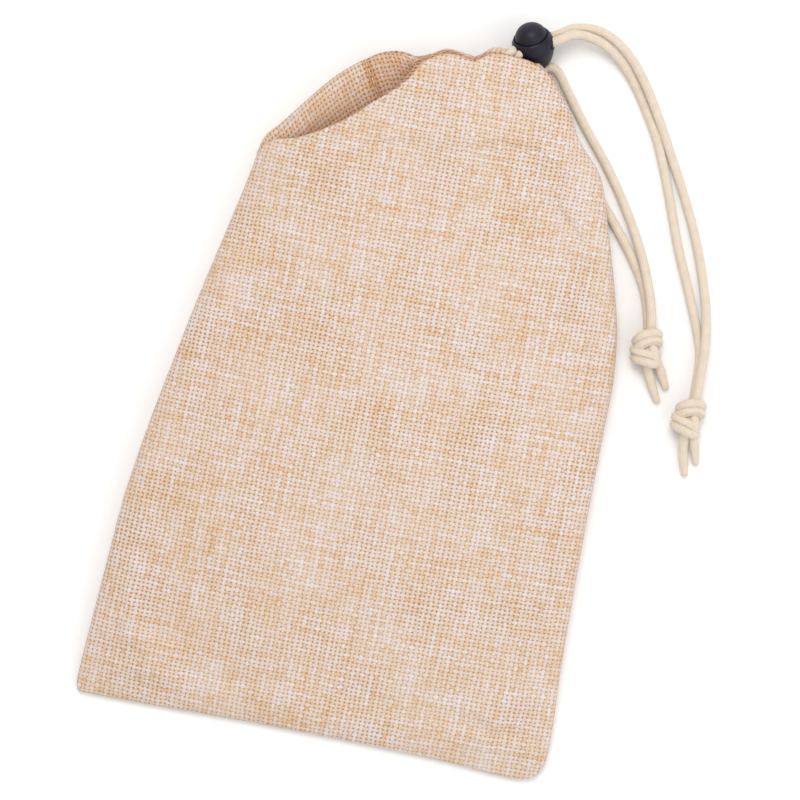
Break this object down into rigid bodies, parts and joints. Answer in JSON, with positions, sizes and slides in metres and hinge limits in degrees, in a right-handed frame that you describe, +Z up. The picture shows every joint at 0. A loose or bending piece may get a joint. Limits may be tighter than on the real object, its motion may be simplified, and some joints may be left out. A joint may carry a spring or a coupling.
{
  "type": "drawstring gift pouch",
  "caption": "Flat woven gift pouch, gathered at the mouth by knotted drawcords that run in a casing, with a ball cord lock on one cord.",
  "frame": {"origin": "middle of the flat underside that the pouch lies on", "axes": "+Y from the bottom seam to the mouth, +X across the width to the right seen from the front, +Z up out of the front"},
  "size_m": [0.182, 0.238, 0.0204],
  "materials": {
    "weave": "plain weave, heathered natural and off-white yarn",
    "thread": "sewing thread",
    "cord": "soft knitted cord",
    "lock_plastic": "satin black",
    "spring_steel": "plain wire"
  },
  "bodies": {
    "pouch": {"front_panel": "weave", "back_panel": "weave", "front_casing": "weave", "back_casing": "weave", "left_seam_allowance": "weave", "right_seam_allowance": "weave", "bottom_seam_allowance": "weave", "left_seam_stitches": "thread", "right_seam_stitches": "thread", "bottom_seam_stitches": "thread", "front_casing_stitches": "thread", "back_casing_stitches": "thread", "cord_a_casing_run": "cord", "cord_b_casing_run": "cord"},
    "drawcord_a": {"cord_a_strand_1": "cord", "cord_a_strand_2": "cord", "cord_a_knot": "cord", "cord_a_tail_1": "cord", "cord_a_tail_2": "cord"},
    "drawcord_b": {"cord_b_strand_1": "cord", "cord_b_strand_2": "cord", "cord_b_knot": "cord", "cord_b_tail_1": "cord", "cord_b_tail_2": "cord"},
    "lock": {"lock_body": "lock_plastic", "lock_spring": "spring_steel"},
    "button": {"lock_button": "lock_plastic"}
  },
  "joints": [
    {"name": "drawcord_a_pull", "type": "slide", "parent": "pouch", "child": "drawcord_a", "axis": [0.9043, 0.4179, 0.0872], "range_m": [0, 0.006]},
    {"name": "drawcord_b_pull", "type": "slide", "parent": "pouch", "child": "drawcord_b", "axis": [1, 0, 0], "range_m": [0, 0.003]},
    {"name": "lock_slide", "type": "slide", "parent": "pouch", "child": "lock", "axis": [0.9043, 0.4179, 0.0872], "range_m": [0, 0.0048]},
    {"name": "button_press", "type": "slide", "parent": "lock", "child": "button", "axis": [0.3722, -0.6719, -0.6403], "range_m": [0, 0.002], "stiffness_N_per_m": 450, "springref_m": -0.001, "deforming": ["lock_spring"]}
  ]
}
